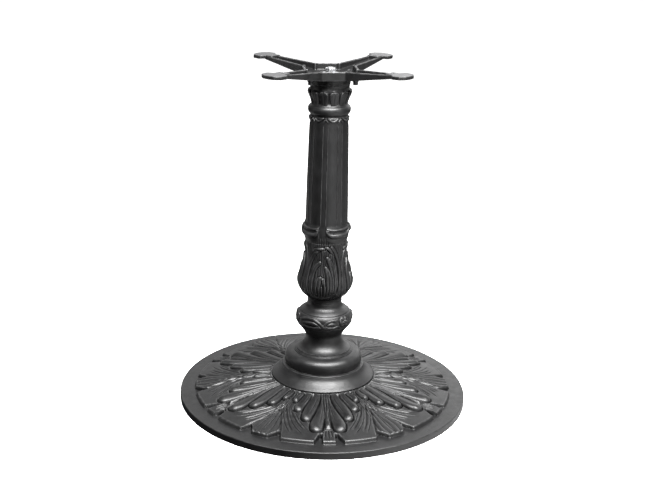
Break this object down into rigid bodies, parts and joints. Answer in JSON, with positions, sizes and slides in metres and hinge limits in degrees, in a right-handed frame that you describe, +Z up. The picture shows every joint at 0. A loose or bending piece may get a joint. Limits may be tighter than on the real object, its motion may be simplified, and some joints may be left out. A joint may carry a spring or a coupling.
{
  "type": "pedestal table base",
  "caption": "Ornate cast-iron pedestal table base: round relief-cast foot plate, turned plinth, knop and vase, fluted column, and spread top arms with pads; levelling feet screw out below.",
  "frame": {"origin": "on the floor under the column axis, with the levelling feet wound in", "axes": "+Z up the column; -Y towards the middle of one main relief leaf of the foot plate"},
  "size_m": [0.61, 0.61, 0.715],
  "materials": {
    "cast_iron": "satin black paint over cast iron",
    "zinc_steel": "bright zinc plate",
    "dark_steel": "black oxide",
    "nylon": "black nylon"
  },
  "bodies": {
    "table_frame": {"base_plate": "cast_iron", "plinth_skirt": "cast_iron", "plinth_dome": "cast_iron", "knop": "cast_iron", "acanthus_vase": "cast_iron", "fluted_shaft": "cast_iron", "capital": "cast_iron", "spider": "cast_iron", "tie_rod": "zinc_steel", "top_washer": "zinc_steel", "top_nut": "zinc_steel", "bottom_washer": "zinc_steel", "bottom_nut": "zinc_steel", "arm_screw_1": "dark_steel", "arm_washer_1": "dark_steel", "arm_screw_2": "dark_steel", "arm_washer_2": "dark_steel", "arm_screw_3": "dark_steel", "arm_washer_3": "dark_steel", "arm_screw_4": "dark_steel", "arm_washer_4": "dark_steel"},
    "pad_1": {"foot_pad_1": "nylon"},
    "stud_1": {"foot_stud_1": "zinc_steel"},
    "pad_2": {"foot_pad_2": "nylon"},
    "stud_2": {"foot_stud_2": "zinc_steel"},
    "pad_3": {"foot_pad_3": "nylon"},
    "stud_3": {"foot_stud_3": "zinc_steel"},
    "pad_4": {"foot_pad_4": "nylon"},
    "stud_4": {"foot_stud_4": "zinc_steel"}
  },
  "joints": [
    {"name": "foot_slide_1", "type": "slide", "parent": "table_frame", "child": "pad_1", "axis": [0, 0, -1], "range_m": [0, 0.008]},
    {"name": "foot_turn_1", "type": "hinge", "parent": "pad_1", "child": "stud_1", "pos_m": [0.1591, 0.1591, 0], "axis": [0, 0, -1], "range_deg": [0, 2304]},
    {"name": "foot_slide_2", "type": "slide", "parent": "table_frame", "child": "pad_2", "axis": [0, 0, -1], "range_m": [0, 0.008]},
    {"name": "foot_turn_2", "type": "hinge", "parent": "pad_2", "child": "stud_2", "pos_m": [-0.1591, 0.1591, 0], "axis": [0, 0, -1], "range_deg": [0, 2304]},
    {"name": "foot_slide_3", "type": "slide", "parent": "table_frame", "child": "pad_3", "axis": [0, 0, -1], "range_m": [0, 0.008]},
    {"name": "foot_turn_3", "type": "hinge", "parent": "pad_3", "child": "stud_3", "pos_m": [-0.1591, -0.1591, 0], "axis": [0, 0, -1], "range_deg": [0, 2304]},
    {"name": "foot_slide_4", "type": "slide", "parent": "table_frame", "child": "pad_4", "axis": [0, 0, -1], "range_m": [0, 0.008]},
    {"name": "foot_turn_4", "type": "hinge", "parent": "pad_4", "child": "stud_4", "pos_m": [0.1591, -0.1591, 0], "axis": [0, 0, -1], "range_deg": [0, 2304]}
  ],
  "couplings": [
    {"joint": "foot_turn_1", "follows": "foot_slide_1", "rad_per_m": 5026.5},
    {"joint": "foot_turn_2", "follows": "foot_slide_2", "rad_per_m": 5026.5},
    {"joint": "foot_turn_3", "follows": "foot_slide_3", "rad_per_m": 5026.5},
    {"joint": "foot_turn_4", "follows": "foot_slide_4", "rad_per_m": 5026.5}
  ]
}
